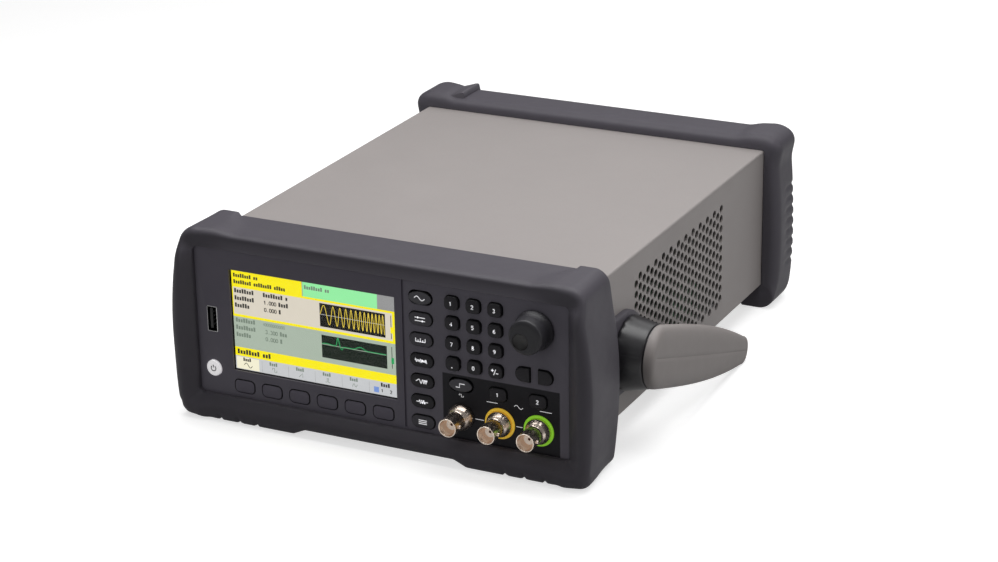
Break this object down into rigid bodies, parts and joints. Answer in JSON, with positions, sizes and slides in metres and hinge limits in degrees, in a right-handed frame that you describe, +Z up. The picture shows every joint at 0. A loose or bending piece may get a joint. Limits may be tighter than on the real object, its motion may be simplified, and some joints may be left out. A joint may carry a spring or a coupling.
{
  "type": "function generator",
  "caption": "Half-rack bench function generator with rubber end bumpers, keypad, tuning knob, colour display, front jacks and a swivel carrying handle.",
  "frame": {"origin": "middle of the footprint, on the bench under the feet", "axes": "+Z up, -Y out of the front panel, +X to the right as seen by the person using it"},
  "size_m": [0.261, 0.3032, 0.1038],
  "materials": {
    "bumper_rubber": "matt dark charcoal",
    "sleeve_paint": "fine textured warm grey",
    "chassis_steel": "zinc plated",
    "panel_plastic": "fine matt",
    "clear_window": "clear",
    "display": "lit colour display",
    "key_rubber": "matt",
    "power_key": "satin white",
    "knob_plastic": "satin",
    "nickel": "nickel plated",
    "insulator": "white",
    "yellow_ring": "gloss",
    "green_ring": "gloss",
    "handle_black": "gloss black",
    "handle_grey": "matt mid grey",
    "pivot_steel": "turned",
    "rear_paint": "fine textured grey",
    "black_plastic": "matt",
    "port_steel": "tinned",
    "board": "green solder mask",
    "supply_case": "folded sheet",
    "screw_steel": "zinc plated"
  },
  "bodies": {
    "case": {"front_bumper": "bumper_rubber", "rear_bumper": "bumper_rubber", "case_sleeve": "sleeve_paint", "chassis_tray": "chassis_steel", "front_panel": "panel_plastic", "display_window": "clear_window", "display_module": "display", "keypad_membrane": "key_rubber", "keypad_board": "board", "rotary_encoder": "port_steel", "usb_host_port": "port_steel", "bnc_jacks": "nickel", "bnc_insulators": "insulator", "channel_1_ring": "yellow_ring", "channel_2_ring": "green_ring", "handle_pivots": "pivot_steel", "rear_panel": "rear_paint", "mains_inlet": "black_plastic", "rear_data_ports": "port_steel", "fan_frame": "black_plastic", "main_board": "board", "power_supply": "supply_case", "fasteners": "screw_steel"},
    "tuning_knob": {"tuning_knob": "knob_plastic", "encoder_shaft": "chassis_steel"},
    "fan_rotor": {"fan_rotor": "black_plastic"},
    "swivel_handle": {"handle_frame": "handle_black", "handle_side_covers": "handle_grey", "handle_grip": "handle_grey"},
    "softkey_1": {"softkey_1": "key_rubber"},
    "softkey_2": {"softkey_2": "key_rubber"},
    "softkey_3": {"softkey_3": "key_rubber"},
    "softkey_4": {"softkey_4": "key_rubber"},
    "softkey_5": {"softkey_5": "key_rubber"},
    "softkey_6": {"softkey_6": "key_rubber"},
    "waveform_key": {"waveform_key": "key_rubber"},
    "parameter_key": {"parameter_key": "key_rubber"},
    "units_key": {"units_key": "key_rubber"},
    "modulate_key": {"modulate_key": "key_rubber"},
    "sweep_key": {"sweep_key": "key_rubber"},
    "burst_key": {"burst_key": "key_rubber"},
    "system_key": {"system_key": "key_rubber"},
    "number_key_0": {"number_key_0": "key_rubber"},
    "number_key_1": {"number_key_1": "key_rubber"},
    "number_key_2": {"number_key_2": "key_rubber"},
    "number_key_3": {"number_key_3": "key_rubber"},
    "number_key_4": {"number_key_4": "key_rubber"},
    "number_key_5": {"number_key_5": "key_rubber"},
    "number_key_6": {"number_key_6": "key_rubber"},
    "number_key_7": {"number_key_7": "key_rubber"},
    "number_key_8": {"number_key_8": "key_rubber"},
    "number_key_9": {"number_key_9": "key_rubber"},
    "point_key": {"point_key": "key_rubber"},
    "sign_key": {"sign_key": "key_rubber"},
    "left_arrow_key": {"left_arrow_key": "key_rubber"},
    "right_arrow_key": {"right_arrow_key": "key_rubber"},
    "trigger_key": {"trigger_key": "key_rubber"},
    "channel_1_key": {"channel_1_key": "key_rubber"},
    "channel_2_key": {"channel_2_key": "key_rubber"},
    "power_button": {"power_button": "power_key"}
  },
  "joints": [
    {"name": "handle_swing", "type": "hinge", "parent": "case", "child": "swivel_handle", "pos_m": [0, -0.0754, 0.0489], "axis": [-1, 0, 0], "range_deg": [0, 160]},
    {"name": "tuning_knob_turn", "type": "hinge", "parent": "case", "child": "tuning_knob", "pos_m": [0.0875, -0.1354, 0.0795], "axis": [0, 1, 0], "continuous": true},
    {"name": "fan_spin", "type": "hinge", "parent": "case", "child": "fan_rotor", "pos_m": [-0.005, 0.1266, 0.056], "axis": [0, 1, 0], "continuous": true},
    {"name": "softkey_1_press", "type": "slide", "parent": "case", "child": "softkey_1", "axis": [0, 1, 0], "range_m": [0, 0.0012], "stiffness_N_per_m": 120, "springref_m": -0.0008},
    {"name": "softkey_2_press", "type": "slide", "parent": "case", "child": "softkey_2", "axis": [0, 1, 0], "range_m": [0, 0.0012], "stiffness_N_per_m": 120, "springref_m": -0.0008},
    {"name": "softkey_3_press", "type": "slide", "parent": "case", "child": "softkey_3", "axis": [0, 1, 0], "range_m": [0, 0.0012], "stiffness_N_per_m": 120, "springref_m": -0.0008},
    {"name": "softkey_4_press", "type": "slide", "parent": "case", "child": "softkey_4", "axis": [0, 1, 0], "range_m": [0, 0.0012], "stiffness_N_per_m": 120, "springref_m": -0.0008},
    {"name": "softkey_5_press", "type": "slide", "parent": "case", "child": "softkey_5", "axis": [0, 1, 0], "range_m": [0, 0.0012], "stiffness_N_per_m": 120, "springref_m": -0.0008},
    {"name": "softkey_6_press", "type": "slide", "parent": "case", "child": "softkey_6", "axis": [0, 1, 0], "range_m": [0, 0.0012], "stiffness_N_per_m": 120, "springref_m": -0.0008},
    {"name": "waveform_key_press", "type": "slide", "parent": "case", "child": "waveform_key", "axis": [0, 1, 0], "range_m": [0, 0.0012], "stiffness_N_per_m": 120, "springref_m": -0.0008},
    {"name": "parameter_key_press", "type": "slide", "parent": "case", "child": "parameter_key", "axis": [0, 1, 0], "range_m": [0, 0.0012], "stiffness_N_per_m": 120, "springref_m": -0.0008},
    {"name": "units_key_press", "type": "slide", "parent": "case", "child": "units_key", "axis": [0, 1, 0], "range_m": [0, 0.0012], "stiffness_N_per_m": 120, "springref_m": -0.0008},
    {"name": "modulate_key_press", "type": "slide", "parent": "case", "child": "modulate_key", "axis": [0, 1, 0], "range_m": [0, 0.0012], "stiffness_N_per_m": 120, "springref_m": -0.0008},
    {"name": "sweep_key_press", "type": "slide", "parent": "case", "child": "sweep_key", "axis": [0, 1, 0], "range_m": [0, 0.0012], "stiffness_N_per_m": 120, "springref_m": -0.0008},
    {"name": "burst_key_press", "type": "slide", "parent": "case", "child": "burst_key", "axis": [0, 1, 0], "range_m": [0, 0.0012], "stiffness_N_per_m": 120, "springref_m": -0.0008},
    {"name": "system_key_press", "type": "slide", "parent": "case", "child": "system_key", "axis": [0, 1, 0], "range_m": [0, 0.0012], "stiffness_N_per_m": 120, "springref_m": -0.0008},
    {"name": "number_key_0_press", "type": "slide", "parent": "case", "child": "number_key_0", "axis": [0, 1, 0], "range_m": [0, 0.0012], "stiffness_N_per_m": 120, "springref_m": -0.0008},
    {"name": "number_key_1_press", "type": "slide", "parent": "case", "child": "number_key_1", "axis": [0, 1, 0], "range_m": [0, 0.0012], "stiffness_N_per_m": 120, "springref_m": -0.0008},
    {"name": "number_key_2_press", "type": "slide", "parent": "case", "child": "number_key_2", "axis": [0, 1, 0], "range_m": [0, 0.0012], "stiffness_N_per_m": 120, "springref_m": -0.0008},
    {"name": "number_key_3_press", "type": "slide", "parent": "case", "child": "number_key_3", "axis": [0, 1, 0], "range_m": [0, 0.0012], "stiffness_N_per_m": 120, "springref_m": -0.0008},
    {"name": "number_key_4_press", "type": "slide", "parent": "case", "child": "number_key_4", "axis": [0, 1, 0], "range_m": [0, 0.0012], "stiffness_N_per_m": 120, "springref_m": -0.0008},
    {"name": "number_key_5_press", "type": "slide", "parent": "case", "child": "number_key_5", "axis": [0, 1, 0], "range_m": [0, 0.0012], "stiffness_N_per_m": 120, "springref_m": -0.0008},
    {"name": "number_key_6_press", "type": "slide", "parent": "case", "child": "number_key_6", "axis": [0, 1, 0], "range_m": [0, 0.0012], "stiffness_N_per_m": 120, "springref_m": -0.0008},
    {"name": "number_key_7_press", "type": "slide", "parent": "case", "child": "number_key_7", "axis": [0, 1, 0], "range_m": [0, 0.0012], "stiffness_N_per_m": 120, "springref_m": -0.0008},
    {"name": "number_key_8_press", "type": "slide", "parent": "case", "child": "number_key_8", "axis": [0, 1, 0], "range_m": [0, 0.0012], "stiffness_N_per_m": 120, "springref_m": -0.0008},
    {"name": "number_key_9_press", "type": "slide", "parent": "case", "child": "number_key_9", "axis": [0, 1, 0], "range_m": [0, 0.0012], "stiffness_N_per_m": 120, "springref_m": -0.0008},
    {"name": "point_key_press", "type": "slide", "parent": "case", "child": "point_key", "axis": [0, 1, 0], "range_m": [0, 0.0012], "stiffness_N_per_m": 120, "springref_m": -0.0008},
    {"name": "sign_key_press", "type": "slide", "parent": "case", "child": "sign_key", "axis": [0, 1, 0], "range_m": [0, 0.0012], "stiffness_N_per_m": 120, "springref_m": -0.0008},
    {"name": "left_arrow_key_press", "type": "slide", "parent": "case", "child": "left_arrow_key", "axis": [0, 1, 0], "range_m": [0, 0.0012], "stiffness_N_per_m": 120, "springref_m": -0.0008},
    {"name": "right_arrow_key_press", "type": "slide", "parent": "case", "child": "right_arrow_key", "axis": [0, 1, 0], "range_m": [0, 0.0012], "stiffness_N_per_m": 120, "springref_m": -0.0008},
    {"name": "trigger_key_press", "type": "slide", "parent": "case", "child": "trigger_key", "axis": [0, 1, 0], "range_m": [0, 0.0012], "stiffness_N_per_m": 120, "springref_m": -0.0008},
    {"name": "channel_1_key_press", "type": "slide", "parent": "case", "child": "channel_1_key", "axis": [0, 1, 0], "range_m": [0, 0.0012], "stiffness_N_per_m": 120, "springref_m": -0.0008},
    {"name": "channel_2_key_press", "type": "slide", "parent": "case", "child": "channel_2_key", "axis": [0, 1, 0], "range_m": [0, 0.0012], "stiffness_N_per_m": 120, "springref_m": -0.0008},
    {"name": "power_button_press", "type": "slide", "parent": "case", "child": "power_button", "axis": [0, 1, 0], "range_m": [0, 0.0012], "stiffness_N_per_m": 120, "springref_m": -0.0008}
  ]
}
